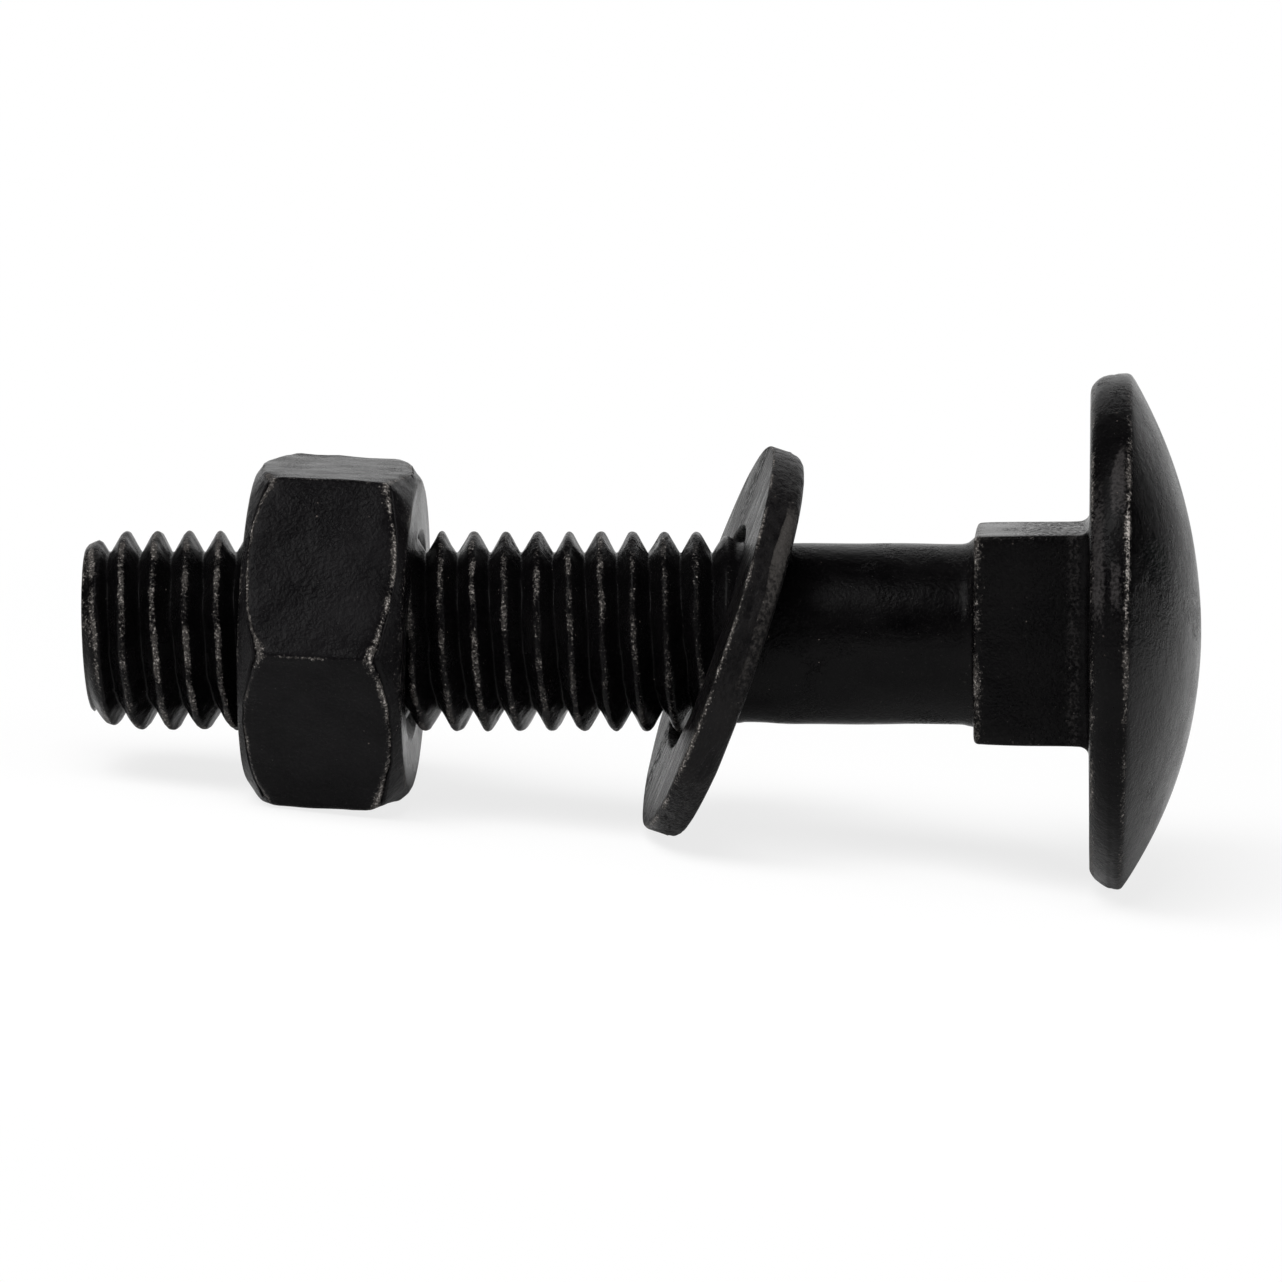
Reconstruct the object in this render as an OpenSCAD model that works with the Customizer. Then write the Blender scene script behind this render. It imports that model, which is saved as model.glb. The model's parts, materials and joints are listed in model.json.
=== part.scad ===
// Carriage bolt with its hex nut and flat washer, lying on the floor as it comes to rest.
// Lengths are in millimetres and angles in degrees.
//
// Each piece is built on the bolt's own axis, which runs along X. The seat under the head
// is at x = 0, the head rises towards +X and the thread runs out towards -X.
// lying() then tips the finished pieces until the head's rim and the nut's edge both touch
// the floor. The origin stays at the middle of the seat.

/* [Thread] */
// Nominal diameter of the thread
thread_d = 8; // [7.6:0.1:8.8]
// Distance from one ridge of the thread to the next
pitch = 1.25; // [1:0.05:1.4]
// Length of the thread, measured from the tip
thread_l = 25.9; // [22:0.1:29]
// Play between the flanks of the bolt's thread and the nut's thread
thread_play = 0.07; // [0.05:0.01:0.1]
// Angle from the top at which the thread's ridge leaves the tip
thread_start = 287; // [0:1:360]

/* [Shank] */
// Length of the bolt from the seat to the tip
bolt_l = 39.4; // [38:0.1:48]
// Diameter of the plain shank
shank_d = 7.1; // [6.8:0.1:7.4]
// Diameter of the flat end of the tip
tip_d = 6.6; // [5:0.1:7]
// Length of the bevel from the end of the tip to the full thread
tip_l = 1.9; // [0.8:0.1:3]
// Length of the flare where the shank meets the neck
flare_l = 0.4; // [0.2:0.1:1.2]

/* [Square neck] */
// Width of the neck across its flats
neck_w = 8.4; // [7.8:0.05:8.6]
// Length of the neck
neck_l = 4.45; // [3:0.05:5.6]
// Diameter of the round that the neck's corners are forged out to
neck_corner_d = 11.2; // [10:0.1:12.1]
// How far the neck is turned about the axis from level
neck_turn = -4.8; // [-45:0.1:45]

/* [Head] */
// Diameter of the head
head_d = 20.1; // [18:0.05:21]
// Height of the head from the seat to the top of the dome
head_h = 4.38; // [3.6:0.02:5]
// Height of the rim, from the seat to where the dome starts
rim_h = 1.4; // [1.2:0.05:2]
// Radius of the rounding between the seat and the rim
seat_round = 0.55; // [0.2:0.05:0.6]
// Radius of the rounding between the rim and the dome
dome_round = 0.3; // [0.1:0.05:0.5]

/* [Nut] */
// Width of the nut across its flats
nut_af = 13; // [12:0.1:14]
// Height of the nut
nut_h = 6.4; // [5:0.1:7]
// Distance from the seat to the middle of the nut
nut_at = 29.65; // [26:0.05:32]
// Diameter of the nut's flat bearing faces
nut_face_d = 12.2; // [11.4:0.1:12.8]
// Slope of the chamfer on the nut's corners
nut_chamfer = 33; // [25:1:40]
// Gap between the thread and the mouth of the nut's countersinks
nut_mouth = 0.3; // [0.2:0.05:0.5]
// How far the nut's body leans off the axis of its thread
nut_lean = 3; // [0:0.5:4]

/* [Washer] */
// Outer diameter of the washer
washer_d = 15.8; // [14.5:0.1:17]
// Thickness of the washer
washer_t = 1.4; // [1:0.05:1.8]
// How much wider the washer's hole is than the thread
washer_clear = 1.2; // [0.9:0.05:1.4]
// Radius of the rounding on the washer's outer edges
washer_round = 0.25; // [0.1:0.05:0.4]
// How far past the thread the washer's hole rests on the shank
washer_past = 1.45; // [0.6:0.05:3]
// Direction in which the washer leans, turned about the axis from straight up
washer_turn = 18; // [-40:1:40]

/* [Hidden] */
$fn = 96;

// Steps in one turn of the thread, and the corners of its profile in one pitch
turn_steps = 32;
profile_corners = 4;
// Half of the angle between the thread's flanks
flank = 30;
// Gap that a loose piece keeps from what it rests on
rest_gap = 0.05;
// How far a cutting form reaches past the face that it cuts
past = 0.5;
black = [0.10, 0.10, 0.11];

// Radii of the bolt's thread, as shares of the pitch below the nominal radius
crest_r = thread_d / 2 - 0.08 * pitch;
pitch_r = thread_d / 2 - 0.325 * pitch;
root_r = thread_d / 2 - 0.72 * pitch;
// Radius of the hole left between the ridges of the nut's thread
nut_bore_r = thread_d / 2 - 0.52 * pitch;
shank_r = shank_d / 2;
tip_r = tip_d / 2;
thread_end = thread_l - bolt_l;
run_out = pitch;
neck_corner_r = neck_corner_d / 2;
flare_r = min(shank_r + flare_l, neck_w / 2 - 0.1);
neck_bevel = 0.3;

head_r = head_d / 2;
// The dome is a part of a ball through its top and the edge of the rim
dome_r = (pow(head_r, 2) + pow(head_h - rim_h, 2)) / (2 * (head_h - rim_h));
dome_x = head_h - dome_r;
// The rounding of the rim's edge touches the rim from inside and the dome from inside
edge_r = head_r - dome_round;
edge_x = dome_x + sqrt(pow(dome_r - dome_round, 2) - pow(edge_r, 2));
edge_angle = atan2(edge_r, edge_x - dome_x);

nut_face_r = nut_face_d / 2;
nut_corner_r = nut_af / 2 / cos(30);

// The nut touches the floor where its lower flat ends towards the tip, in the middle of
// the chamfer's arc
nut_flat_half = nut_h / 2 - max(0, nut_af / 2 - nut_face_r) * tan(nut_chamfer);
nut_touch_x = -nut_at - nut_flat_half * cos(nut_lean) - nut_af / 2 * sin(nut_lean);
nut_touch_r = nut_af / 2 * cos(nut_lean) - nut_flat_half * sin(nut_lean);

// The floor is the line that touches the rounding under the head's rim and the nut
floor_run = seat_round - nut_touch_x;
floor_rise = head_r - seat_round - nut_touch_r;
incline = atan2(floor_rise, floor_run) + asin(seat_round / norm([floor_run, floor_rise]));
floor_z = seat_round * sin(incline) - (head_r - seat_round) * cos(incline) - seat_round;

washer_r = washer_d / 2;
washer_hole_r = (thread_d + washer_clear) / 2;
// The washer hangs by its hole on top of the shank. Its lower rim stands on the floor, and
// where it is too small to reach the floor it hangs plumb.
hang_x = thread_end + washer_past;
hang_height = hang_x * sin(incline) + shank_r * cos(incline) - floor_z;
washer_lean = incline + acos(min(1, hang_height / (washer_hole_r + washer_r)));
washer_x = hang_x - washer_hole_r * sin(washer_lean) - washer_t / 2 * cos(washer_lean);
washer_drop = washer_hole_r * cos(washer_lean) - washer_t / 2 * sin(washer_lean)
    - shank_r - rest_gap;

// Points of an arc about [x, r], as [r, x] pairs for a turned profile.
// The angle is measured from +X towards the outside.
function arc(x, r, radius, from, to, steps) = [
    for (i = [0 : steps])
        let (a = from + (to - from) * i / steps)
        [r + radius * sin(a), x + radius * cos(a)]
];

// Turns a profile of [r, x] points about the X axis
module turned(points) {
    rotate([0, 90, 0]) rotate_extrude() polygon(points);
}

// A cylinder on the X axis from x1 to x2
module rod(r, x1, x2) {
    translate([x1, 0, 0]) rotate([0, 90, 0]) cylinder(r = r, h = x2 - x1);
}

// A cone on the X axis, with radius r1 at x1 and r2 at x2
module cone(r1, x1, r2, x2) {
    translate([x1, 0, 0]) rotate([0, 90, 0]) cylinder(r1 = r1, r2 = r2, h = x2 - x1);
}

// Distance along the axis from the middle of a ridge to its flank, at one radius
function ridge_half(r, play) = pitch / 4 + (pitch_r - r) * tan(flank) + play;

// How much of the thread is left at x: 1 along the thread, falling to 0 at its end
function thread_left(x, end) = max(0, min(1, (end - x) / run_out));

// One corner of the thread's profile, at step k along the helix.
// Corners 0 and 3 are the feet of the ridge, and 1 and 2 are the edges of its crest.
function thread_corner(k, m, crest, root, play, end) =
    let (
        angle = thread_start + 360 * k / turn_steps,
        side = m < 2 ? -1 : 1,
        full_r = m == 0 || m == 3 ? root : crest,
        x = -bolt_l + pitch * k / turn_steps + side * ridge_half(full_r, play),
        faded_r = shank_r - rest_gap,
        r = faded_r + (full_r - faded_r) * thread_left(x, end)
    )
    [x, -r * sin(angle), r * cos(angle)];

// Place of a corner in the list of points. Corner 4 is the first foot one turn further on,
// and steps past the last one hold only that foot.
function corner_at(k, m, last) =
    m == profile_corners ? corner_at(k + turn_steps, 0, last)
    : k <= last ? profile_corners * k + m
    : profile_corners * (last + 1) + k - last - 1;

// A threaded rod as one closed skin that follows the helix from x1 to x2.
// Each end is closed by a fan of faces about a point on the axis.
module threaded_rod(x1, x2, crest, root, play, end) {
    first = floor((x1 + bolt_l) / pitch * turn_steps);
    last = ceil((x2 + bolt_l) / pitch * turn_steps) - first;
    corners = [
        for (k = [0 : last], m = [0 : profile_corners - 1])
            thread_corner(first + k, m, crest, root, play, end)
    ];
    edge = [
        for (k = [1 : turn_steps])
            thread_corner(first + last + k, 0, crest, root, play, end)
    ];
    points = concat(corners, edge, [[corners[0].x, 0, 0], [edge[turn_steps - 1].x, 0, 0]]);
    start_mid = len(points) - 2;
    end_mid = len(points) - 1;
    skin = [
        for (k = [0 : last - 1], m = [0 : profile_corners - 1], half = [0, 1])
            let (
                a = corner_at(k, m, last),
                b = corner_at(k, m + 1, last),
                c = corner_at(k + 1, m + 1, last),
                d = corner_at(k + 1, m, last)
            )
            half == 0 ? [a, b, c] : [a, c, d]
    ];
    caps = [
        for (k = [0 : turn_steps - 1], tip = [true, false])
            tip ? [start_mid, corner_at(k, 0, last), corner_at(k + 1, 0, last)]
            : [end_mid, corner_at(last + k + 1, 0, last), corner_at(last + k, 0, last)]
    ];
    walls = [
        for (m = [0 : profile_corners - 1], tip = [true, false])
            tip ? [start_mid, corner_at(0, m + 1, last), corner_at(0, m, last)]
            : [end_mid, corner_at(last, m, last), corner_at(last, m + 1, last)]
    ];
    polyhedron(points, concat(skin, caps, walls), convexity = 10);
}

// The domed head: a flat seat, a rounded rim and a shallow dome
module head() {
    turned(concat(
        [[0, 0]],
        arc(seat_round, head_r - seat_round, seat_round, 180, 90, 6),
        arc(edge_x, edge_r, dome_round, 90, edge_angle, 4),
        [for (i = [1 : 20]) let (a = edge_angle * (1 - i / 20))
            [dome_r * sin(a), dome_x + dome_r * cos(a)]]
    ));
}

// The square neck that stops the bolt from turning in timber
module neck() {
    rotate([neck_turn, 0, 0]) intersection() {
        translate([-neck_l, -neck_w / 2, -neck_w / 2]) cube([neck_l + past, neck_w, neck_w]);
        turned([
            [0, -neck_l],
            [neck_corner_r - neck_bevel, -neck_l],
            [neck_corner_r, -neck_l + neck_bevel],
            [neck_corner_r, past],
            [0, past]
        ]);
    }
}

// The plain shank, with a short flare into the neck
module shank() {
    rod(shank_r, thread_end, past);
    cone(shank_r, -neck_l - flare_l, flare_r, -neck_l);
}

// The bolt's thread, cut to a bevelled tip and fading into the shank
module bolt_thread() {
    envelope_r = crest_r + past;
    envelope_x = thread_end + 3 * pitch;
    bevel_l = tip_l * (envelope_r - tip_r) / (crest_r - tip_r);
    intersection() {
        threaded_rod(-bolt_l - pitch, thread_end + pitch / 2, crest_r, root_r, 0, thread_end);
        turned([
            [0, -bolt_l],
            [tip_r, -bolt_l],
            [envelope_r, -bolt_l + bevel_l],
            [envelope_r, envelope_x],
            [0, envelope_x]
        ]);
    }
}

// Six flats with both ends chamfered to a round bearing face, on the X axis
module nut_blank() {
    reach = nut_corner_r + past - nut_face_r;
    slope_x = nut_h / 2 - reach * tan(nut_chamfer);
    intersection() {
        rotate([0, 90, 0]) rotate([0, 0, 30])
            cylinder(r = nut_corner_r, h = nut_h, center = true, $fn = 6);
        turned([
            [0, -nut_h / 2],
            [nut_face_r, -nut_h / 2],
            [nut_face_r + reach, -slope_x],
            [nut_face_r + reach, slope_x],
            [nut_face_r, nut_h / 2],
            [0, nut_h / 2]
        ]);
    }
}

// What a tap and a countersink take out of the nut, on the axis of the bolt
module nut_hole() {
    mouth_r = crest_r + nut_mouth;
    low_x = -nut_at - nut_h / 2;
    high_x = -nut_at + nut_h / 2;
    threaded_rod(low_x - 2 * pitch, high_x + pitch, crest_r + thread_play, nut_bore_r,
        thread_play, past);
    cone(mouth_r + past, low_x - past, 0, low_x + mouth_r);
    cone(0, high_x - mouth_r, mouth_r + past, high_x + past);
}

// A flat ring with its outer edges rounded, on the X axis
module washer_blank() {
    round_x = washer_t / 2 - washer_round;
    round_r = washer_r - washer_round;
    turned(concat(
        [[washer_hole_r, washer_t / 2], [washer_hole_r, -washer_t / 2]],
        arc(-round_x, round_r, washer_round, 180, 90, 4),
        arc(round_x, round_r, washer_round, 90, 0, 4)
    ));
}

// Tips a piece from the bolt's axis to the way it lies on the floor
module lying() {
    rotate([0, -incline, 0]) children();
}

module bolt() {
    color(black) lying() {
        head();
        neck();
        shank();
        bolt_thread();
    }
}

module washer() {
    color(black) lying()
        rotate([washer_turn, 0, 0])
        translate([washer_x, 0, -washer_drop])
        rotate([0, washer_lean, 0])
        washer_blank();
}

module nut() {
    color(black) lying() difference() {
        translate([-nut_at, 0, 0]) rotate([0, nut_lean, 0]) nut_blank();
        nut_hole();
    }
}

bolt();
washer();
nut();
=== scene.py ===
# %% [markdown]
# # A black carriage bolt with its nut and washer
#
# A carriage bolt is a forged fastener for timber. It has a smooth domed head, a square neck that
# bites into the wood, a plain shank and a thread that is rolled on. This one lies on its side
# with a hex nut part of the way on and a loose flat washer on the shank. All three are steel
# with a black oxide finish, and the oxide has rubbed through to bare metal on the sharp edges.
#
# The lesson builds each of the three as one closed skin of points that are worked out in code,
# and then gives each skin a satin black finish with wear where the real one has it.

# %% [markdown]
# ## The fixed frame
#
# The size and place of every piece are already settled in a CAD model. Everything here is
# fitted to that model, so the first step loads it and measures it. The bolt doesn't lie level:
# its head is wider than its nut, so the axis drops towards the tip. The CAD model's joint
# says which way the axis points, and that gives the incline.

# %% Load the CAD model and measure it
import json
import math

import bmesh
import bpy
import numpy as np
from mathutils import Matrix, Vector


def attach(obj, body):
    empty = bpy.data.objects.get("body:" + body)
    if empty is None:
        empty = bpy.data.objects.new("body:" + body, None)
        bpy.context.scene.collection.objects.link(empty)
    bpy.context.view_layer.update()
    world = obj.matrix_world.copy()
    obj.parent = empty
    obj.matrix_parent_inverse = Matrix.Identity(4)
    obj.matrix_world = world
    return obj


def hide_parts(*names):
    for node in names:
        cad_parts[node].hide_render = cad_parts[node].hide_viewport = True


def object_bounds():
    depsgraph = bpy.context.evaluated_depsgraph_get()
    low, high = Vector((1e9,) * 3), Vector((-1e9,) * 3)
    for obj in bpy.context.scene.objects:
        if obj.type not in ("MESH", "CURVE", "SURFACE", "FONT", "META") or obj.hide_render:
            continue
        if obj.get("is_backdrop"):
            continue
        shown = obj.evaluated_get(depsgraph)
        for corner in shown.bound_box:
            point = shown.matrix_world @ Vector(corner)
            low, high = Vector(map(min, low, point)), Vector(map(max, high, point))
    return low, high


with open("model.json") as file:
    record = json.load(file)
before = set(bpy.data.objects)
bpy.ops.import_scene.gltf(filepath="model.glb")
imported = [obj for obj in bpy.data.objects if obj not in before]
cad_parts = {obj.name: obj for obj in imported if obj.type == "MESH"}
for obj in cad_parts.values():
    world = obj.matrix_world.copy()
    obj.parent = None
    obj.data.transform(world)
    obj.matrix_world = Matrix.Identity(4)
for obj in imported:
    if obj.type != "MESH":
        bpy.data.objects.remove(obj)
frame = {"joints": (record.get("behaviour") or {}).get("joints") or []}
cad_box = [list(corner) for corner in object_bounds()]
toward_head = Vector(frame["joints"][0]["axis"])
incline = math.atan2(toward_head.z, toward_head.x)
lying = Matrix.Rotation(-incline, 4, "Y")
floor_z = cad_box[0][2]
MM = 0.001
print("incline", round(math.degrees(incline), 3), "degrees, floor at", round(floor_z / MM, 3), "mm")

# %% [markdown]
# ## The camera
#
# A camera is a lens length and a place. A long lens from far away flattens the perspective, as
# in most pictures of small hardware. The angles below were found by matching the ridges of
# the thread, the corners of the nut and the head. The camera is rolled with the bolt, so that
# the bolt's axis lies level in the picture.

# %% Camera
camera_azimuth = math.radians(3.62)
camera_height = math.radians(8.4)
camera_roll = math.radians(-0.38)
camera_distance = 293.0
camera_target = Vector((-17.58, 0, -0.38))

back = Vector((
    math.sin(camera_azimuth) * math.cos(camera_height),
    -math.cos(camera_azimuth) * math.cos(camera_height),
    math.sin(camera_height),
))
level = Vector((math.cos(camera_azimuth), math.sin(camera_azimuth), 0))
above = back.cross(level)
right = math.cos(camera_roll) * level + math.sin(camera_roll) * above
up = math.cos(camera_roll) * above - math.sin(camera_roll) * level

place = Matrix((right, up, back)).transposed().to_4x4()
place.translation = (camera_target + back * camera_distance) * MM
lens = bpy.data.cameras.new("Camera")
lens.sensor_width = 36
lens.lens = 36 * 25.44 * camera_distance / 1282
lens.clip_start = 0.01
lens.clip_end = 20
camera = bpy.data.objects.new("Camera", lens)
bpy.context.scene.collection.objects.link(camera)
camera.matrix_world = lying @ place
bpy.context.scene.camera = camera
print("lens", round(lens.lens, 1), "mm, camera at", [round(v, 3) for v in camera.location])

# %% [markdown]
# ## The floor
#
# The picture has a plain white ground. The floor is a large disc with a white matt finish. A
# matt white floor never looks fully white by itself, so part of what the camera sees of it is
# a plain white glow. The rest is the real lit surface, which keeps the soft shadow of the bolt.
# The share of the glow grows away from the bolt. The metal mirrors the floor as well, and there
# the share is smaller, because the dark underside of the shank mirrors its own shadow.

# %% Floor
floor_mesh = bpy.data.meshes.new("Floor")
floor_shape = bmesh.new()
bmesh.ops.create_circle(floor_shape, cap_ends=True, segments=96, radius=6)
floor_shape.to_mesh(floor_mesh)
floor_shape.free()
floor = bpy.data.objects.new("Floor", floor_mesh)
floor.location = (0, 0, floor_z)
bpy.context.scene.collection.objects.link(floor)
floor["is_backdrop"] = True


def node(tree, kind, at=(0, 0), **settings):
    """A new node of this kind, with its settings."""
    made = tree.nodes.new(kind)
    made.location = at
    for name, value in settings.items():
        setattr(made, name, value)
    return made


def fresh_material(name):
    """An empty material that uses nodes, and its node tree."""
    material = bpy.data.materials.new(name)
    material.use_nodes = True
    material.node_tree.nodes.clear()
    return material, material.node_tree


def sum_of(tree, operation, first, second, clamp=False):
    """A math node on two values, each a number or a socket."""
    made = node(tree, "ShaderNodeMath", operation=operation, use_clamp=clamp)
    for socket, value in zip(made.inputs, (first, second)):
        if isinstance(value, (int, float)):
            socket.default_value = value
        else:
            tree.links.new(value, socket)
    return made.outputs["Value"]


def between(tree, value, low, high, to_low=0.0, to_high=1.0):
    """Maps a value smoothly from one span to another."""
    made = node(tree, "ShaderNodeMapRange", interpolation_type="SMOOTHSTEP")
    tree.links.new(value, made.inputs["Value"])
    for name, number in (("From Min", low), ("From Max", high), ("To Min", to_low), ("To Max", to_high)):
        made.inputs[name].default_value = number
    return made.outputs["Result"]


def blended(tree, mask, first, second):
    """A shader that goes from the first to the second with a mask."""
    made = node(tree, "ShaderNodeMixShader")
    for socket, value in zip(made.inputs, (mask, first, second)):
        tree.links.new(value, socket)
    return made.outputs["Shader"]


print("floor disc", floor.name, "at", round(floor.location.z / MM, 2), "mm")

# %% Finish of the floor
under_bolt = (-0.0175, 0, 0)
floor_finish, tree = fresh_material("White floor")
matt = node(tree, "ShaderNodeBsdfDiffuse")
matt.inputs["Color"].default_value = (0.9, 0.9, 0.9, 1)
glow = node(tree, "ShaderNodeEmission")
on_floor = node(tree, "ShaderNodeTexCoord").outputs["Object"]
moved = node(tree, "ShaderNodeVectorMath", operation="DISTANCE")
moved.inputs[1].default_value = under_bolt
tree.links.new(on_floor, moved.inputs[0])
away = moved.outputs["Value"]
ray = node(tree, "ShaderNodeLightPath")
straight = sum_of(tree, "MAXIMUM", ray.outputs["Is Camera Ray"], ray.outputs["Is Transmission Ray"])
to_camera = sum_of(tree, "MULTIPLY", straight, between(tree, away, 0.03, 0.07, 0.80, 1.0))
mirror_share = between(tree, away, 0.018, 0.055, 0.12, 0.85)
to_metal = sum_of(tree, "MULTIPLY", ray.outputs["Is Glossy Ray"], mirror_share)
share = sum_of(tree, "MAXIMUM", to_camera, to_metal)
surface = node(tree, "ShaderNodeOutputMaterial")
tree.links.new(
    blended(tree, share, matt.outputs["BSDF"], glow.outputs["Emission"]), surface.inputs["Surface"]
)
floor_mesh.materials.append(floor_finish)
print("floor finish", floor_finish.name, len(tree.nodes), "nodes")

# %% [markdown]
# ## The surroundings
#
# Black satin metal shows mostly what it mirrors. In the picture the top flats are grey, so they
# mirror a white backdrop, and the upper sides are near black, so the rest of the room is dark.
# The world is therefore white to the camera, and mirror rays see a white glow only in the
# direction of the backdrop, behind the bolt. It is narrow from side to side and fades upward.

# %% World
backdrop_way = Vector((0, 1, 0.10))
backdrop_squeeze = (1.32, 1, 0.92)
world = bpy.data.worlds.new("Surroundings")
bpy.context.scene.world = world
world.use_nodes = True
tree = world.node_tree
tree.nodes.clear()


def plain_light(grey, strength=1.0):
    """A light from all round, of one grey."""
    made = node(tree, "ShaderNodeBackground")
    made.inputs["Color"].default_value = (grey, grey, grey, 1)
    made.inputs["Strength"].default_value = strength
    return made.outputs["Background"]


white = plain_light(1)
ray_way = node(tree, "ShaderNodeTexCoord")
aimed = node(tree, "ShaderNodeMapping", vector_type="POINT")
aimed.inputs["Location"].default_value = -backdrop_way
aimed.inputs["Scale"].default_value = backdrop_squeeze
off_centre = node(tree, "ShaderNodeVectorMath", operation="LENGTH")
tree.links.new(ray_way.outputs["Generated"], aimed.inputs["Vector"])
tree.links.new(aimed.outputs["Vector"], off_centre.inputs[0])
glow_shape = between(tree, off_centre.outputs["Value"], 0.38, 0.90, 1.0, 0.0)
mirrored = blended(tree, glow_shape, plain_light(0.02), white)

ray = node(tree, "ShaderNodeLightPath")
to_mirror = blended(tree, ray.outputs["Is Glossy Ray"], plain_light(1, 0.15), mirrored)
straight = sum_of(tree, "MAXIMUM", ray.outputs["Is Camera Ray"], ray.outputs["Is Transmission Ray"])
sky = node(tree, "ShaderNodeOutputWorld")
tree.links.new(blended(tree, straight, to_mirror, white), sky.inputs["Surface"])
print("world", world.name, len(tree.nodes), "nodes")

# %% [markdown]
# ## The lamps
#
# The light comes from a soft box that stands in front, high and to the left. Its shadow falls
# behind the bolt. Steel this dark would mirror the whole lamp as a glaring patch, so it is made
# as two: a wide one that lights but is hidden from mirror rays, and a smaller and weaker one in
# the same direction, which draws the soft lines along the rim of the head and the shank. A
# third lamp stands off the head and gives the dome a highlight when it is seen end on.

# %% Lamps
def lamp(name, at, aim, size, watts):
    """A square soft lamp at one point that faces another, in metres."""
    light = bpy.data.lights.new(name, "AREA")
    light.size = size
    light.energy = watts
    thing = bpy.data.objects.new(name, light)
    bpy.context.scene.collection.objects.link(thing)
    thing.location = at
    thing.rotation_euler = (Vector(aim) - Vector(at)).to_track_quat("-Z", "Y").to_euler()
    return thing


bolt_middle = (-0.02, 0, 0)
soft_box = lamp("Soft box", (-0.14, -0.31, 0.54), bolt_middle, size=0.40, watts=3.4)
soft_box.visible_glossy = False
lamp("Mirrored lamp", (-0.32, -0.30, 0.46), bolt_middle, size=0.34, watts=1.7)
lamp("Lamp off the head", (0.42, -0.14, 0.20), (0, 0, 0), size=0.26, watts=0.5)

# %% [markdown]
# ## Points round an axis
#
# Every surface here runs round an axis, so each point is given by how far along it is, how far
# out, and at which angle. The angle starts at the top and turns towards the camera. A smooth
# random field makes each surface slightly uneven, as forged and rolled steel is. It is a sum
# of waves in fixed random directions, so it is the same in each run.

# %% Helpers for points
def round_axis(x, r, angle):
    """Points at x along, r out and an angle in degrees, stacked in the last axis."""
    x, r, angle = np.broadcast_arrays(x, r, np.radians(angle))
    return np.stack([x, -r * np.sin(angle), r * np.cos(angle)], axis=-1)


def unevenness(points, size, seed, waves=28):
    """A smooth random field about 1 high, with bumps about `size` millimetres wide."""
    draw = np.random.default_rng(seed)
    ways = draw.normal(size=(waves, 3))
    ways /= np.linalg.norm(ways, axis=1, keepdims=True)
    ways *= draw.uniform(0.5, 1.3, (waves, 1)) * math.pi / size
    shifts = draw.uniform(0, 2 * math.pi, waves)
    return np.sin(points @ ways.T + shifts).sum(axis=-1) * math.sqrt(2 / waves)


def ramp(value, start, end):
    """0 at start, 1 at end, smooth between."""
    t = np.clip((value - start) / (end - start), 0, 1)
    return t * t * (3 - 2 * t)


def line_wear(distance, reach):
    """1 on an edge, falling to 0 at `reach` millimetres from it."""
    return np.clip(1 - np.abs(distance) / reach, 0, 1)


print("unevenness at one point", round(float(unevenness(np.zeros((1, 3)), 1, 1)[0]), 3))

# %% [markdown]
# ## From points to a mesh
#
# A piece is made from blocks of points and faces, and a few values ride on every point. `worn`
# says how exposed the place is, from 0 in a hollow to 1 on a sharp edge, and the finish uses it
# to rub the black off. Another value is 1 where the finish turns grey: on the head's rim these
# grey patches are painted reflections, on the washer's broken band the grey is partly real and
# partly a painted sheen, and beside the fillet it is a grey band. `pitted` is 1 where scale was
# hammered in and below 0 where there are few pits. `own` is the point in the piece's own
# millimetres, so that grain and streaks keep their direction. Points that lie on each other are
# merged, which closes the skin, and the number of open edges is printed to prove it.

# %% Helper for meshes
def make_piece(name, blocks, to_frame, grey_and_sheen_at, pitted_at):
    """One closed skin from blocks of (points, worn, faces), placed by a matrix."""
    points = np.concatenate([b[0] for b in blocks])
    values = {
        "worn": np.concatenate([b[1] for b in blocks]),
        "grey_and_sheen": grey_and_sheen_at(points),
        "pitted": pitted_at(points),
    }
    starts = np.cumsum([0] + [len(b[0]) for b in blocks])
    faces = np.concatenate([b[2] + start for b, start in zip(blocks, starts)])
    turn = np.array(to_frame.to_3x3())
    placed = (points @ turn.T + np.array(to_frame.translation)) * MM

    mesh = bpy.data.meshes.new(name)
    mesh.from_pydata(placed.tolist(), [], faces.tolist())
    for label, value in values.items():
        mesh.attributes.new(label, "FLOAT", "POINT").data.foreach_set("value", value)
    mesh.attributes.new("own", "FLOAT_VECTOR", "POINT").data.foreach_set("vector", points.ravel())

    shape = bmesh.new()
    shape.from_mesh(mesh)
    bmesh.ops.remove_doubles(shape, verts=shape.verts, dist=2e-7)
    bmesh.ops.dissolve_degenerate(shape, edges=shape.edges, dist=1e-8)
    bmesh.ops.recalc_face_normals(shape, faces=shape.faces)
    open_edges = sum(not edge.is_manifold for edge in shape.edges)
    shape.to_mesh(mesh)
    shape.free()
    mesh.shade_smooth()

    piece = bpy.data.objects.new(name, mesh)
    bpy.context.scene.collection.objects.link(piece)
    print(name, len(mesh.polygons), "faces,", open_edges, "open edges")
    return piece


def polar(points):
    """Place along the axis, distance from it and angle in degrees of each point."""
    x, y, z = points.T
    return x, np.hypot(y, z), np.degrees(np.arctan2(-y, z))


def nowhere(points):
    """A mark that this piece doesn't have."""
    return np.zeros(len(points))


def ring_faces(rows, columns):
    """Faces of a grid of rings, each ring joined to the next and closed on itself."""
    row, column = np.mgrid[0 : rows - 1, 0:columns]
    after = (column + 1) % columns
    corners = [row * columns + column, row * columns + after]
    corners += [(row + 1) * columns + after, (row + 1) * columns + column]
    return np.stack(corners, axis=-1).reshape(-1, 4)


print("a grid of 3 rings by 4 has", len(ring_faces(3, 4)), "faces")

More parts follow.
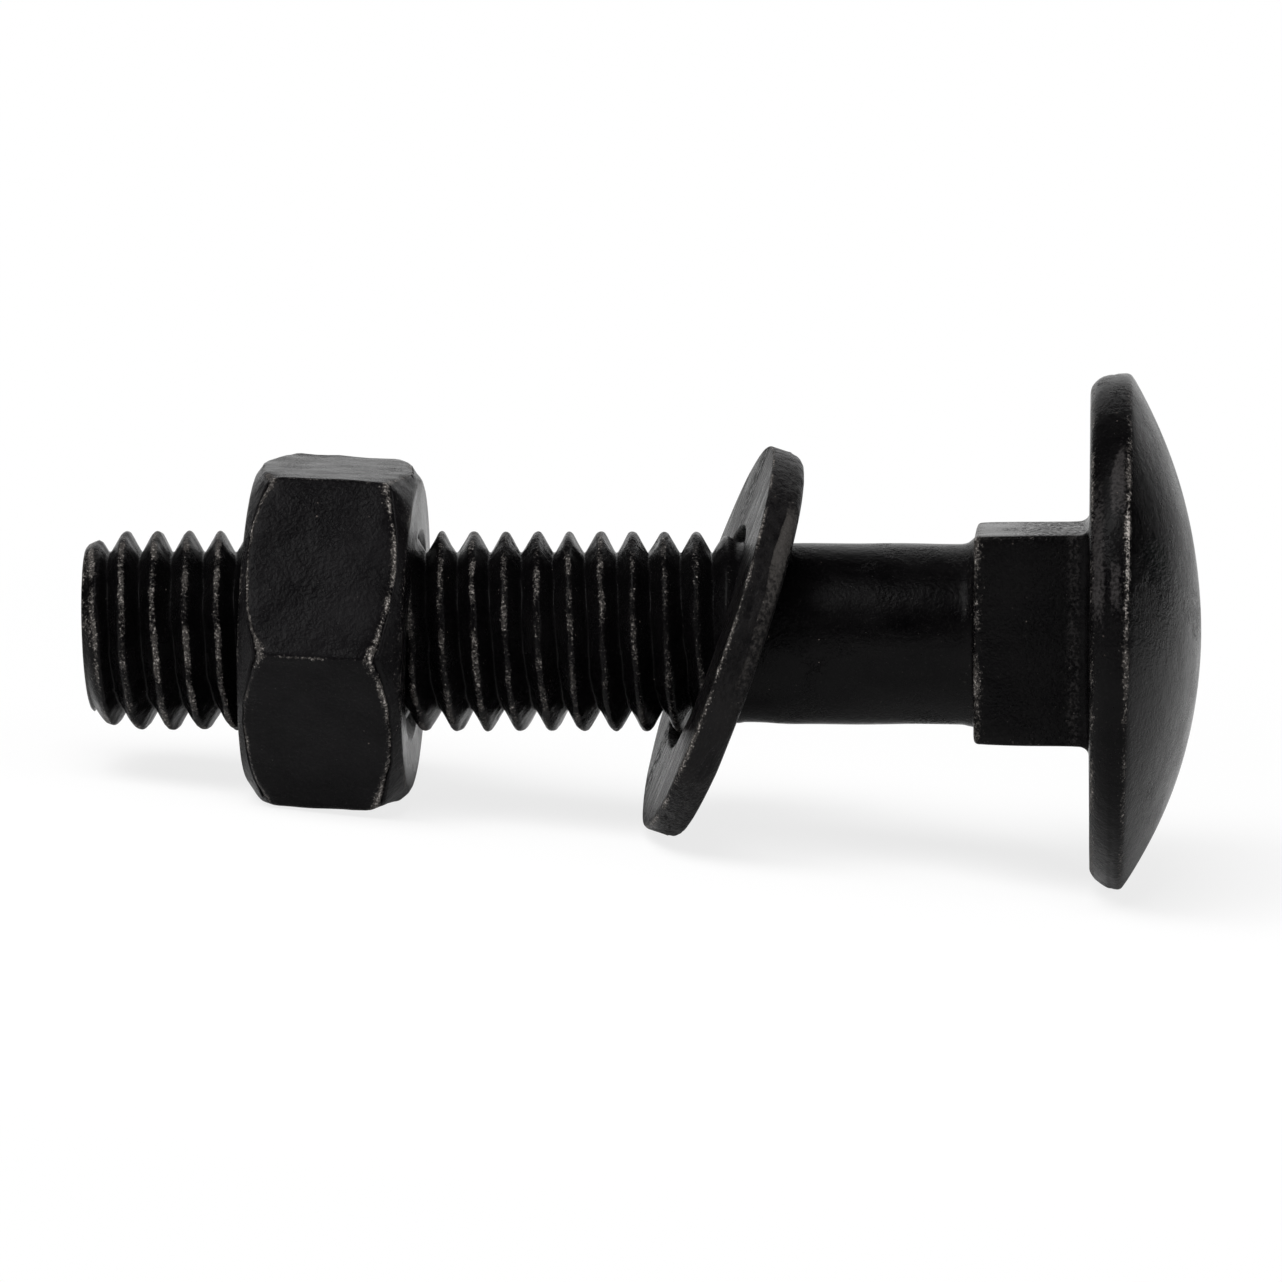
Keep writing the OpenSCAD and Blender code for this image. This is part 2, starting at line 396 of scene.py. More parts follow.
# %% [markdown]
# ## The thread's profile
#
# A rolled thread is pressed into the blank between dies. Its flanks stand at 60 degrees, its
# ridges are round on top where the metal flowed together, and the valleys are round as well.
# The radius is worked out from the distance to the middle of the ridge, so the same function
# serves the bolt and, with a little play, the nut.

# %% Thread values and profile
thread_d = 8.0
pitch = 1.25
bolt_l = 39.4
thread_l = 25.9
thread_start = 287.0
thread_play = 0.07
tip_r = 3.33
shank_r = 3.55
crest_r = thread_d / 2 - 0.08 * pitch
root_r = thread_d / 2 - 0.72 * pitch
middle_r = thread_d / 2 - 0.35 * pitch
thread_end = thread_l - bolt_l


def thread_radius(from_ridge, crest, root, play):
    """Radius of the thread at a distance in mm from the middle of its ridge."""
    slope = 1 / math.tan(math.radians(30))
    u = np.abs(from_ridge) - play
    v = pitch / 2 - np.abs(from_ridge)
    sharp_top = middle_r + pitch / 4 * slope
    sharp_valley = middle_r - pitch / 4 * slope + play * slope
    crest_round = max(sharp_top - crest, 0.02)
    root_round = max(root - sharp_valley, 0.02)
    r = sharp_top - np.maximum(u, 0) * slope
    reach = crest_round * math.cos(math.radians(30))
    arc = crest - crest_round + np.sqrt(np.maximum(crest_round**2 - np.maximum(u, 0) ** 2, 0))
    r = np.where(u < reach, arc, r)
    reach = root_round * math.cos(math.radians(30))
    arc = root + root_round - np.sqrt(np.maximum(root_round**2 - v**2, 0))
    return np.where(v < reach, np.maximum(arc, 0), r)


def from_ridge_middle(x, angle):
    """Signed distance along the axis to the nearest ridge of the right-hand thread."""
    ahead = x + bolt_l - pitch * (angle - thread_start) / 360
    return (ahead + pitch / 2) % pitch - pitch / 2


print("crest", round(crest_r, 3), "root", round(root_r, 3), "mm, thread ends at", thread_end)

# %% [markdown]
# ## The threaded part of the bolt
#
# A thread could be made with the Screw modifier, but its ends are then hard to close. Rings
# across the axis close well, but they cut the ridge at a new place at each angle, so its
# top gets ragged. Here the rows of points follow the helix, so one row always runs along the
# top of the ridge. At both ends the rows are pressed flat against a plain ring, where the rest
# of the bolt takes over.

# %% The bolt's surface in the threaded part
neck_turn = -3.5
tip_ring_x = -bolt_l + 0.12
tip_slope = 0.47
tip_blunt = 0.24
join_x = thread_end + 0.4
rubbed_half_width = 0.165


def crowded_angles(count, corners, strength, reach):
    """Angles round a piece, closer together at its corners."""
    even = np.linspace(0, 360, 3601)
    crowding = np.ones_like(even)
    for corner in corners:
        crowding += strength * np.exp(-(((even - corner + 180) % 360 - 180) / reach) ** 2)
    filled = np.concatenate([[0], np.cumsum((crowding[1:] + crowding[:-1]) / 2)])
    return np.interp(np.arange(count) / count, filled / filled[-1], even)


bolt_angles = crowded_angles(136, [neck_turn + 45 + 90 * k for k in range(4)], 2.6, 3.2)


def bolt_thread_surface(x, angle):
    """Radius and wear of the bolt between the tip and the shank."""
    spot = round_axis(x, crest_r, angle)
    wander = 0.022 * unevenness(spot, 1.1, 11) + 0.012 * unevenness(spot, 0.35, 12)
    off = from_ridge_middle(x, angle) + wander * ramp(x, tip_ring_x, tip_ring_x + 0.4)
    off = (off + pitch / 2) % pitch - pitch / 2
    r = thread_radius(off, crest_r, root_r, 0)
    left = np.clip((thread_end - x) / pitch, 0, 1)
    on_top = line_wear(off, 0.34)
    dents = ramp(unevenness(spot, 0.55, 13), 0.9, 2.2) * 0.05
    uneven = 0.03 + 0.012 * unevenness(spot, 0.5, 14) - dents
    r = shank_r + (r - shank_r) * left + on_top * left * uneven
    bevel = tip_r + (x + bolt_l) * tip_slope + 0.02 * unevenness(spot, 0.7, 15)
    on_line = np.clip((rubbed_half_width - np.abs(off)) / 0.08, 0, 1)
    worn = on_line * left * (0.80 - 0.014 * (x + bolt_l))
    scraped = 0.22 + 0.20 * (1 - ramp(x + bolt_l, 0.3, 0.7))
    worn = np.maximum(worn, scraped * ramp(r - bevel, -0.05, 0.02))
    blunt = np.maximum(tip_blunt - np.abs(r - bevel), 0) ** 2 / 0.8
    return np.minimum(r, bevel) - blunt, worn


print(len(bolt_angles), "points round the bolt, closer together at the corners of its neck")

# %% Rows that follow the helix
half_ridge = np.array([0, 0.055, 0.11, 0.17, 0.27, 0.39, 0.50, 0.555, 0.595, pitch / 2])
across_ridge = np.concatenate([-half_ridge[:0:-1], half_ridge[:-1]])


def helix_block():
    """Points along the ridge, turn after turn, pressed against a ring at each end."""
    count, width = len(bolt_angles), len(across_ridge)
    first = math.floor((tip_ring_x + bolt_l) / pitch + thread_start / 360) - 2
    last = math.ceil((join_x + bolt_l) / pitch + thread_start / 360) + 2
    turns = np.arange(first, last)
    angle = (turns[:, None] * 360 + bolt_angles[None, :]).ravel()
    middle = -bolt_l + pitch * (angle - thread_start) / 360
    x = np.clip(middle[:, None] + across_ridge[None, :], tip_ring_x, join_x)
    r, worn = bolt_thread_surface(x, angle[:, None])
    points = round_axis(x, r, angle[:, None])

    step, column = np.mgrid[0 : len(angle) - count - 1, 0:width]
    here = step * width + column
    beside = np.where(column + 1 < width, here + 1, (step + count) * width)
    faces = np.stack([here, beside, beside + width, here + width], axis=-1).reshape(-1, 4)
    corner_x = x.ravel()[faces]
    drawn = np.ptp(corner_x, axis=1) > 1e-9
    return points.reshape(-1, 3), worn.ravel(), faces[drawn]


thread_block = helix_block()
print("thread:", len(thread_block[2]), "faces")

# %% [markdown]
# ## The tip, the shank, the neck and the head
#
# The rest of the bolt is a stack of rings from the tip to the top of the dome. A ring doesn't
# have to be round: the rings of the neck follow a square whose corners are cut by a circle,
# as on a real neck, and the fillet under the head leads from that square to the round head.

# %% Outline of the neck
neck_w = 8.2
neck_l = 4.45
neck_corner_r = 5.74
neck_softness = 0.15


def neck_outline(angle, inset=0.0):
    """Radius of the square neck at an angle, its corners cut round and softened."""
    around = np.radians((angle - neck_turn + 45) % 90 - 45)
    flat = (neck_w / 2 - inset) / np.cos(around)
    corner = neck_corner_r - inset * 1.6
    gap = flat - corner
    return (flat + corner - np.sqrt(gap**2 + neck_softness**2)) / 2


print("neck from", round(float(neck_outline(neck_turn)), 2), "to",
      round(float(neck_outline(neck_turn + 45)), 2), "mm out")

# %% [markdown]
# Each ring below is a place along the axis, a radius at every angle, and how worn it is. The
# head's rings follow its real section: a flat seat, a well rounded edge, a rim that leans out
# a little, a ridge where the rim meets the dome, and the dome, which is part of a ball.

# %% Rings of the tip, the shank and the neck
a = bolt_angles
ones = np.ones_like(a)
rings = []


def ring(x, r, worn=0.0):
    """Adds a ring to the bolt."""
    rings.append((x * ones, r * ones, worn * ones))


def tip_rings():
    """The sheared end of the bolt, slightly hollow, up to where the thread starts."""
    edge, edge_worn = bolt_thread_surface(tip_ring_x * ones, a)
    for share, depth in ((0, 0.10), (0.3, 0.09), (0.6, 0.06), (0.8, 0.03), (0.9, 0.008)):
        ring(-bolt_l + depth, share * edge)
    ring(-bolt_l, 0.94 * edge, 0.3)
    ring(-bolt_l + 0.03, 0.975 * edge, 0.7)
    ring(tip_ring_x, edge, edge_worn)


tip_rings()
tip_count = len(rings)
for x in np.arange(join_x, -neck_l - 0.95, 0.45):
    ring(x, shank_r)
flare_r = 3.74
for t in np.linspace(0, 1, 7):
    ring(-neck_l - 0.6 + 0.58 * t, shank_r + (flare_r - shank_r) * t**2.2, 0.2 * t)
for along, past_flare, inset, worn in (
    (-0.01, 0.02, 0.33, 0.25),
    (0.005, 0.04, 0.20, 0.5),
    (0.04, 0.06, 0.11, 0.75),
    (0.10, 0.07, 0.06, 0.7),
    (0.18, 0.08, 0.035, 0.6),
):
    ring(-neck_l + along, np.maximum(flare_r + past_flare, neck_outline(a, inset)), worn)
ring(-neck_l + 0.30, neck_outline(a, 0.03), 0.3)
at_corner = line_wear((a - neck_turn) % 90 - 45, 2.5)
for x in np.arange(-neck_l + 0.5, -0.6, 0.25):
    nearly = 0.25 * ramp(x, -1.1, -0.6)
    ring(x, neck_outline(a, 0.03 - 0.065 * (x + neck_l) / neck_l), np.maximum(0.3 * at_corner, nearly))
print(len(rings), "rings up to the head")

# %% Rings of the fillet and the head
head_h = 4.38
fillet = 0.42
dome_r = 18.7
dome_x = head_h - dome_r
outline = neck_outline(a, -0.035)

for t in np.radians([0, 12, 24, 38, 52, 66, 78, 90]):
    ring(-fillet + fillet * math.sin(t), outline + fillet * (1 - math.cos(t)), 0.35 * at_corner)
for share in (0.12, 0.3, 0.5, 0.7, 0.88):
    ring(0.03 * share, (outline + fillet) * (1 - share) + 9.30 * share)
rim = [
    (0.035, 9.34, 0.1), (0.05, 9.44, 0.3), (0.09, 9.53, 0.7), (0.15, 9.62, 0.6), (0.25, 9.74, 0.2),
    (0.38, 9.84, 0.08), (0.52, 9.92, 0.0), (0.66, 9.97, 0.0), (0.76, 10.00, 0.0),
    (0.84, 10.02, 0.0), (0.91, 10.03, 0.0), (0.98, 10.04, 0.0), (1.06, 10.045, 0.0),
    (1.17, 10.05, 0.05), (1.28, 10.05, 0.45), (1.37, 10.035, 0.9), (1.45, 9.995, 0.95),
    (1.52, 9.92, 0.45), (1.58, 9.83, 0.05),
]
# The ridge's wear peaks about 66 degrees round from the top, on the near side that faces the lamps. The
# rubbing is real; its peak there, which also brings more painted glints, is a painted highlight.
rubbed_and_lit_side = 0.45 + 0.95 * np.exp(-(((a - 66) / 23) ** 2))
for x, r, worn in rim:
    ring(x, r, worn * rubbed_and_lit_side if x > 1 else worn)
for r in np.concatenate([[9.76, 9.62, 9.45], np.linspace(9.25, 0.6, 26), [0.25, 0]]):
    ring(dome_x + math.sqrt(dome_r**2 - r**2), r)
print(len(rings), "rings in all")

# %% [markdown]
# A forged bolt is never quite true: the dome leans, the shank runs a little low, the seat's edge
# isn't filled out at the bottom, and a shallow crease runs round the rim. A sculpting brush could
# add such marks by hand. Here each is a height that is added to the rings in one place, so that
# it can be set by a number. A little unevenness goes over all of them.

# %% Forging marks on the rings
dome_lean = 0.17
head_rise = 0.045
shank_sag = 0.07
seat_cut = 0.055
crease_depth = 0.030

ring_x, ring_r, ring_worn = (np.array(part) for part in zip(*rings))
rise = np.cos(np.radians(a))
dome_tilt = dome_lean * rise * ramp(ring_x, 0.3, 1.2) * np.minimum(ring_r / 10, 1) ** 2
ring_r = ring_r + head_rise * (1 + rise) * ramp(ring_x, 0.0, 0.12) * (ring_r / 10)
ring_x = ring_x + dome_tilt
spot = round_axis(ring_x, ring_r, a)
on_neck = ramp(ring_x, -neck_l - 0.6, -neck_l + 0.3) * (1 - ramp(ring_x, -0.6, 0))
on_head = ramp(ring_x, 0.05, 0.6) * ramp(ring_r, 0.2, 2.5)
calm_end = ramp(ring_x, tip_ring_x, tip_ring_x + 0.3)
bump = 0.012 * unevenness(spot, 2.2, 21) * (1 - calm_end) * ramp(tip_ring_x - ring_x, 0, 0.02)
bump *= ramp(ring_r, 0, 1)
on_shank = ramp(ring_x, join_x, join_x + 0.8) * (1 - ramp(ring_x, -0.6, -0.1))
bump += 0.010 * unevenness(spot, 1.6, 22) * on_shank
sag = ramp(ring_x, join_x, join_x + 1.5) * (1 - ramp(ring_x, -neck_l - 0.3, -neck_l))
bump -= shank_sag * rise * sag
bump -= seat_cut * (1 - rise) * ramp(ring_x, 0.0, 0.05) * (1 - ramp(ring_x, 0.3, 1.1))
bump += 0.020 * unevenness(spot, 0.8, 23) * on_neck * ring_worn
bump += on_head * (0.018 * unevenness(spot, 3.0, 24) + 0.02 * unevenness(spot, 0.9, 25) * ring_worn)
on_rim = ramp(ring_x, 0.05, 0.3) * (1 - ramp(ring_x, 1.2, 1.7))
bump += on_rim * (0.014 * unevenness(spot, 1.3, 26) + 0.004 * unevenness(spot, 0.5, 27))
crease_x = 0.92 + 0.05 * unevenness(round_axis(0, 10, a), 2.0, 28)
crease = np.exp(-(((ring_x - crease_x) / 0.10) ** 2)) * ramp(ring_r, 9.7, 9.9)
bump -= crease_depth * crease * ramp(unevenness(round_axis(0, 10, a), 7.0, 29), -0.6, 0.6)
ring_points = round_axis(ring_x, ring_r + bump, a)
print("marks between", round(float(bump.min()), 3), "and", round(float(bump.max()), 3), "mm")

# %% [markdown]
# Some marks only change the finish. Grey patches painted on the near side of the rim stand in
# for reflections in the rim, a grey band lies beside the fillet, and the neck is pitted. Their
# places are worked out here for every point, and the finish later gives them ragged borders. An
# image painted on the mesh would do too, but it needs an unwrapped surface, and these few places
# are easy to say in numbers.

# %% Places of the grey patches and the pits
def grey_and_sheen_patches(points):
    """Painted reflections as grey patches on the near side of the head's rim, and a grey band beside the
    fillet.
    """
    x, r, angle = polar(points)
    # The rim's grey patches are painted reflections, placed by angle on the near side.
    left = ramp(x, 0.05, 0.25) * (1 - ramp(x, 0.45, 0.72)) * ramp(angle, 38, 62)
    left *= 1 - ramp(angle, 74, 84)
    inner = 1.30 - 0.48 * ramp(angle, 33, 46)
    right = ramp(x - inner, -0.08, 0.08) * ramp(angle, 32, 40) * (1 - ramp(angle, 50, 60))
    lower = ramp(x, 0.76, 0.88) * (1 - ramp(x, 1.15, 1.28)) * ramp(angle, 64, 69)
    lower *= 1 - ramp(angle, 74, 79)
    found = np.maximum(np.maximum(0.75 * left, 0.75 * right), 0.7 * lower)
    under_head = 0.35 * ramp(x, -0.9, -0.7) * (1 - ramp(x, -0.45, -0.25))
    return found * ramp(r, 9.3, 9.5) * (1 - ramp(x, 1.36, 1.42)) + under_head


def pitted_neck(points):
    """Pits on the neck, more of them towards the head, and hardly any on the dome."""
    x, r, angle = polar(points)
    neck = ramp(x, -3.4, -1.4) * (1 - ramp(x, -0.3, 0.0)) * (1 - ramp(r, 6.2, 6.6))
    return neck - 0.75 * ramp(x, 1.3, 1.7)


on_rings = ring_points.reshape(-1, 3)
print("strongest grey", round(float(grey_and_sheen_patches(on_rings).max()), 2),
      "strongest pits", round(float(pitted_neck(on_rings).max()), 2))

# %% [markdown]
# The bolt is put together from three blocks: the rings of the tip, the rows of the thread and
# the rings of the rest. Shears cut the tip, so its end leans a little, and the first two blocks
# are slanted by the same rule so that they still meet.

# %% The finished bolt
skew_in = -0.02
skew_up = -0.023
skew_near = -0.048


def stack_block(rows):
    """Part of the stack of rings as one block."""
    count = rows.stop - rows.start
    return ring_points[rows].reshape(-1, 3), ring_worn[rows].ravel(), ring_faces(count, len(a))


def cut_askew(block):
    """The same block with the tip's end leaning a little, as shears leave it."""
    points = block[0].copy()
    lean = skew_in + skew_up * points[:, 2] + skew_near * points[:, 1]
    points[:, 0] += lean * (1 - ramp(points[:, 0], tip_ring_x, tip_ring_x + 1.2))
    return points, block[1], block[2]


bolt = make_piece(
    "Carriage_bolt",
    [
        cut_askew(stack_block(slice(0, tip_count))),
        cut_askew(thread_block),
        stack_block(slice(tip_count, len(rings))),
    ],
    lying,
    grey_and_sheen_patches,
    pitted_neck,
)

# %% [markdown]
# ## The washer
#
# A flat washer is punched from strip. The punch leaves one edge of the rim sharp and rolls the
# other over, and the cut itself has two bands: a smooth one where the metal sheared and a rough
# one where it broke. The band between them wanders. The section is drawn as a loop of points
# and carried round. The loose washer hangs by its hole on the shank and its rim stands on the
# floor, so it leans, by the same reckoning as in the CAD model.

# %% Washer: where it hangs
washer_r = 15.8 / 2
washer_t = 1.4
washer_clear = 1.2
washer_hole_r = (thread_d + washer_clear) / 2
washer_past = 1.45
washer_turn = 18
rest_gap = 0.05

hang_x = thread_end + washer_past
hang_height = hang_x * math.sin(incline) + shank_r * math.cos(incline) - floor_z / MM
washer_lean = incline + math.acos(min(1, hang_height / (washer_hole_r + washer_r)))
washer_x = hang_x - washer_hole_r * math.sin(washer_lean) - washer_t / 2 * math.cos(washer_lean)
washer_drop = (
    washer_hole_r * math.cos(washer_lean) - washer_t / 2 * math.sin(washer_lean) - shank_r - rest_gap
)
hanging = (
    lying
    @ Matrix.Rotation(math.radians(washer_turn), 4, "X")
    @ Matrix.Translation((washer_x, 0, -washer_drop))
    @ Matrix.Rotation(washer_lean, 4, "Y")
)
print("washer leans", round(math.degrees(washer_lean), 2), "degrees")

# %% Washer: its section
washer_angles = np.linspace(0, 360, 200, endpoint=False)


def lowness(angle):
    """0 at the washer's highest point and 1 at its lowest."""
    return (1 - np.cos(np.radians(angle + washer_turn))) / 2


def split_line(angle):
    """Place of the wandering line between the sheared band and the broken band."""
    at = round_axis(0, washer_r, angle)
    return 0.02 + 0.07 * lowness(angle) + 0.10 * unevenness(at, 2.0, 31) + 0.05 * unevenness(at, 0.6, 32)


def washer_loop():
    """The washer's section at every angle, as rows of (x, r, worn)."""
    t, out, hole = washer_t / 2, washer_r, washer_hole_r
    roll = 0.58 - 0.14 * lowness(washer_angles)
    soft = 0.10 + 0.13 * lowness(washer_angles)
    split = split_line(washer_angles)
    rows = [(-t, r, 0.12) for r in np.linspace(hole + 0.15, out - 0.28, 14)]
    for turn, worn in ((0, 0.4), (22, 0.7), (45, 1.0), (68, 0.8), (90, 0.3)):
        away = 1 - math.sin(math.radians(turn))
        inward = 1 - math.cos(math.radians(turn))
        rows.append((-t + soft * inward, out - soft * away, worn))
    for share in (0.25, 0.5, 0.75, 0.92, 1.0):
        rows.append(((-t + soft) * (1 - share) + split * share, out, 0.05))
    rows.append((split + 0.03, out - 0.025, 0.35))
    rows.append((split + 0.10, out - 0.035, 0.15))
    rolled_at = np.maximum(t - roll, split + 0.16)
    rows.append(((split + 0.10 + rolled_at) / 2, out - 0.04, 0.12))
    for turn in np.radians([0, 14, 28, 42, 56, 70, 82, 90]):
        x = rolled_at + (t - rolled_at) * math.sin(turn)
        rows.append((x, out - 0.04 - roll * 0.85 * (1 - math.cos(turn)), 0.2))
    rows += [(t, r, 0.12) for r in np.linspace(out - 0.8, hole + 0.3, 12)]
    for turn in np.radians([0, 30, 60, 90]):
        rows.append((t - 0.15 + 0.15 * math.cos(turn), hole + 0.15 - 0.15 * math.sin(turn), 0.3))
    rows += [(x, hole, 0.05) for x in (0.3, 0.0, -0.3)]
    rows += [(-t + 0.1, hole, 0.3), (-t + 0.02, hole + 0.03, 0.9), (-t, hole + 0.08, 0.6)]
    rows.append((-t, hole + 0.15, 0.12))
    flat = np.ones_like(washer_angles)
    return [np.array([row[k] * flat for row in rows]) for k in range(3)]


loop_x, loop_r, loop_worn = washer_loop()
print("washer:", loop_x.shape[0], "rows by", loop_x.shape[1], "points")

# %% [markdown]
# The punched washer is slightly dished, its broken band is rough, and its tip-side face stands
# a little proud. The broken band is also greyer than the sheared one, and on its upper near side
# a painted sheen makes it lighter still.

# %% Washer: its skin
washer_proud = 0.06
spot = round_axis(loop_x, loop_r, washer_angles)
dish = 0.012 * unevenness(spot, 3.0, 33) * np.sign(loop_x) * (np.abs(loop_x) > washer_t / 2 - 0.06)
proud = washer_proud * (1 - ramp(loop_x, -washer_t / 2, -0.2))
rough = 0.010 * unevenness(spot, 0.4, 34) * (loop_x > 0) * (loop_r > washer_r - 0.3)
loop_x = loop_x - np.abs(dish) * np.sign(loop_x) - proud
washer_points = round_axis(loop_x, loop_r + rough, washer_angles)


def broken_band_and_sheen(points):
    """The rough band of the rim, where the metal broke, with a painted sheen on the upper near side."""
    x, r, angle = polar(points)
    band = ramp(x - split_line(angle), 0.0, 0.03) * ramp(r, washer_r - 0.3, washer_r - 0.15)
    # The band's grey is real; limited by angle to the upper near side, it is also a painted sheen.
    return band * ramp(angle, 14, 22) * (1 - 0.6 * ramp(angle, 25, 60)) * (1 - ramp(angle, 60, 95))


washer = make_piece(
    "Flat_washer",
    [(washer_points.reshape(-1, 3), loop_worn.ravel(), ring_faces(*loop_x.shape))],
    hanging,
    broken_band_and_sheen,
    nowhere,
)

# %% [markdown]
# ## The nut
#
# A hex nut is a six-sided bar, chamfered at both ends by a cone, which cuts the well known arcs
# into its flats. A bevel modifier can't soften such arcs evenly, so the skin is again worked
# out point by point. For every angle the place of the arc is known, and a few rows of points
# run on both sides of it. The tapped hole uses the thread's own profile with a little play.

# %% Nut: outline and place
nut_af = 13.0
nut_h = 6.4
nut_at = 29.65
nut_face_r = 12.2 / 2
nut_chamfer = math.tan(math.radians(33))
nut_lean = math.radians(3)
nut_bore_r = thread_d / 2 - 0.52 * pitch
nut_round = 0.28
nut_shear = math.radians(1.08)
threaded_on = Matrix.Translation((-nut_at, 0, 0)) @ Matrix.Rotation(nut_lean, 4, "Y")

nut_angles = crowded_angles(216, [30 + 60 * k for k in range(6)], 3.0, 3.0)


def hex_outline(angle):
    """Radius of the hexagon at an angle, its six corners rounded."""
    around = np.radians(np.abs((angle + 30) % 60 - 30))
    flat = nut_af / 2 / np.cos(around)
    centre = (nut_af / 2 - nut_round) / math.cos(math.radians(30))
    off = math.radians(30) - around
    arc = centre * np.cos(off) + np.sqrt(nut_round**2 - (centre * np.sin(off)) ** 2 + 0j).real
    turn_at = math.atan2(nut_af / 2, (nut_af / 2 - nut_round) * math.tan(math.radians(30)))
    return np.where(around > math.pi / 2 - turn_at, arc, flat)


print("nut from", nut_af / 2, "to", round(float(hex_outline(np.array(30.0))), 3), "mm out")

# %% Nut: the outside
def half_outside(side):
    """Rows of (x, r, worn) from a bearing face, over the chamfer, to the middle of the flats."""
    b = nut_angles
    out = hex_outline(b)
    on_corner = ramp(out, 7.448, 7.464)
    edge_spot = round_axis(side * 2.6, out, b)
    out = out - 0.035 * np.abs(unevenness(edge_spot, 1.0, 41)) * ramp(out, 7.0, 7.4)
    arc_x = nut_h / 2 - (nut_af / 2 - nut_face_r) * nut_chamfer
    if side > 0:
        arc_x = arc_x - (out - nut_af / 2) * nut_chamfer
        arc_x = arc_x - 0.13 * (1 + np.cos(np.radians(b - 115)))
    else:
        arc_x = arc_x - (out - nut_af / 2) * 1.3 * nut_chamfer
    arc_x = arc_x + 0.035 * unevenness(edge_spot, 1.3, 42) + 0.015 * unevenness(edge_spot, 0.5, 43)
    # One end's arcs are worn more than the other's: the rubbing is real, and its extra strength is a
    # painted highlight where the softened edge mirrors a lamp.
    wear_and_highlight = 1.0 if side > 0 else 0.75
    width = 2.4 if side > 0 else 1.2
    mouth = crest_r + 0.3
    rows = [(nut_h / 2, mouth + (nut_face_r - mouth) * s, 0.1) for s in (0.03, 0.2, 0.45, 0.7, 0.9)]
    for below, past, worn in ((0.004, -0.05, 0.45), (0.03, 0.02, 0.55), (0.09, 0.12, 0.3)):
        rows.append((nut_h / 2 - below, nut_face_r + past, worn))
    run = out - nut_face_r
    for share in (0.35, 0.6, 0.8):
        x = nut_h / 2 - 0.09 + (arc_x - nut_h / 2 + 0.09) * share
        rows.append((x, nut_face_r + 0.12 + (run - 0.12) * share, 0.12))
    soft = 0.12 * width + (0.40 - 0.12 * width) * ramp(out, 6.9, 7.35)
    for t, worn in ((-1, 0), (-0.6, 0.45), (-0.25, 1.0), (0.12, 1.0), (0.5, 0.4), (1, 0)):
        along = np.where(t < 0, -t * soft * nut_chamfer, -t * soft)
        sink = 0.25 * soft * (1 - abs(t)) ** 2 + (-t * soft if t < 0 else 0.0)
        rows.append((arc_x + along, out - sink, worn * wear_and_highlight))
    for share in (0.12, 0.3, 0.55, 0.8):
        rows.append(((arc_x - soft) * (1 - share), out, 0.62 * on_corner))
    return [[np.broadcast_to(row[k], b.shape) for row in rows] for k in range(3)]


high = half_outside(1)
low = half_outside(-1)
outside = [np.array(high[k] + low[k][::-1]) for k in range(3)]
outside[0][len(high[0]):] *= -1
print("outside of the nut:", len(outside[0]), "rows")

# %% Nut: the tapped hole
def tapped_hole():
    """Rows of (x, r, worn) through the hole, from the low end to the high end."""
    x = np.linspace(-nut_h / 2, nut_h / 2, 124)[:, None] + 0 * nut_angles[None, :]
    mouth = crest_r + 0.3
    countersink = mouth - (nut_h / 2 - np.abs(x))
    r = np.full_like(x, nut_bore_r)
    for _ in range(4):
        spot = round_axis(x, r, nut_angles)
        along = spot[..., 0] * math.cos(nut_lean) + spot[..., 2] * math.sin(nut_lean) - nut_at
        rise = spot[..., 2] * math.cos(nut_lean) - spot[..., 0] * math.sin(nut_lean)
        angle = np.degrees(np.arctan2(-spot[..., 1], rise))
        off = from_ridge_middle(along, angle)
        wanted = thread_radius(off, crest_r + thread_play, nut_bore_r, thread_play)
        r = r + wanted - np.hypot(spot[..., 1], rise)
    r = np.maximum(r, countersink)
    return [x, r, np.where(countersink >= r - 1e-6, 0.15, 0.0)]


inside = tapped_hole()
print("tapped hole:", len(inside[0]), "rows")

# %% [markdown]
# Outside and inside meet at both mouths of the hole, so the rows close on themselves like a
# ring. The outside gets a pebbled surface. The flats of this nut aren't quite square to its
# ends, so the outside is sheared a little along the axis.

# %% Nut: its skin
nut_x, nut_r, nut_worn = (np.concatenate([outside[k], inside[k]]) for k in range(3))
spot = round_axis(nut_x, nut_r, nut_angles)
on_outside = ramp(nut_r, 4.3, 5.5)
pebbles = 0.012 * unevenness(spot, 0.9, 44) + 0.007 * unevenness(spot, 0.4, 45)
nut_points = round_axis(nut_x, nut_r + on_outside * pebbles, nut_angles)
nut_points[..., 0] -= nut_shear * nut_points[..., 2] * on_outside
nut_points = np.concatenate([nut_points, nut_points[:1]])
nut_worn = np.concatenate([nut_worn, nut_worn[:1]])
nut = make_piece(
    "Hex_nut",
    [(nut_points.reshape(-1, 3), nut_worn.ravel(), ring_faces(*nut_worn.shape))],
    lying @ threaded_on,
    nowhere,
    nowhere,
)

# %% [markdown]
# ## Effects that the finishes share
#
# Bolt, nut and washer have the same kinds of marks, each in its own strength, so each kind of
# mark is a node group that is built once. A group takes the point in the piece's own
# millimetres and puts out a mask or a height.

# %% Helper for node groups
def new_group(name, inputs, outputs):
    """An empty node group with named inputs and outputs, and its two end nodes."""
    group = bpy.data.node_groups.new(name, "ShaderNodeTree")
    for label, kind, value in inputs:
        socket = group.interface.new_socket(label, in_out="INPUT", socket_type=kind)
        if value is not None:
            socket.default_value = value
    for label, kind in outputs:
        group.interface.new_socket(label, in_out="OUTPUT", socket_type=kind)
    return group, node(group, "NodeGroupInput"), node(group, "NodeGroupOutput")


